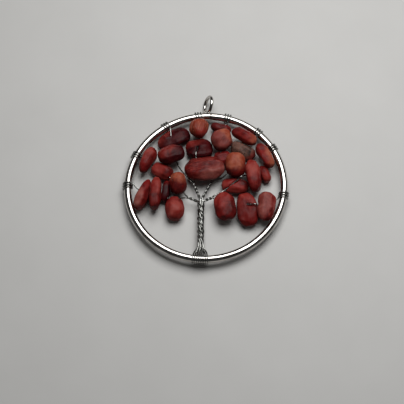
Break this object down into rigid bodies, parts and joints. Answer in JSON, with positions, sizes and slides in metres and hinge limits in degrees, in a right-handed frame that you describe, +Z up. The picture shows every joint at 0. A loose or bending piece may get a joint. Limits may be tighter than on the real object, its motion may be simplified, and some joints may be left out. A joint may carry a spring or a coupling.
{
  "type": "tree pendant",
  "caption": "Round wire hoop pendant with a small loop bail and a twisted wire tree whose branches carry tumbled red stone chips.",
  "frame": {"origin": "centre of the bounding box's base, on the surface that the pendant lies on", "axes": "+X to the tree's right as the picture shows it, +Y from the tree's foot to the bail, +Z up from the surface through the hoop"},
  "size_m": [0.051, 0.0566, 0.0074],
  "materials": {
    "hoop_metal": "polished silver-toned plating",
    "wire_metal": "silver-toned plated wire, a little dulled",
    "stone_red": "tumbled red stone, softly polished",
    "stone_dark_red": "tumbled dark red stone, softly polished",
    "stone_orange_red": "tumbled orange-red stone, softly polished",
    "stone_mottled_brown": "tumbled mottled brown stone, satin"
  },
  "bodies": {
    "root": {"hoop_with_bail": "hoop_metal", "tree_wire_1": "wire_metal", "tree_wire_2": "wire_metal", "tree_wire_3": "wire_metal", "tree_wire_4": "wire_metal", "tree_wire_5": "wire_metal", "tree_wire_6": "wire_metal", "tree_wire_7": "wire_metal", "tree_wire_8": "wire_metal", "stone_chip_01": "stone_red", "stone_chip_02": "stone_dark_red", "stone_chip_03": "stone_red", "stone_chip_04": "stone_red", "stone_chip_05": "stone_orange_red", "stone_chip_06": "stone_red", "stone_chip_07": "stone_red", "stone_chip_08": "stone_dark_red", "stone_chip_09": "stone_dark_red", "stone_chip_10": "stone_red", "stone_chip_11": "stone_dark_red", "stone_chip_12": "stone_orange_red", "stone_chip_13": "stone_red", "stone_chip_14": "stone_red", "stone_chip_15": "stone_dark_red", "stone_chip_16": "stone_orange_red", "stone_chip_17": "stone_mottled_brown", "stone_chip_18": "stone_red", "stone_chip_19": "stone_red", "stone_chip_20": "stone_red", "stone_chip_21": "stone_orange_red", "stone_chip_22": "stone_orange_red", "stone_chip_23": "stone_red", "stone_chip_24": "stone_red", "stone_chip_25": "stone_red"}
  },
  "joints": []
}
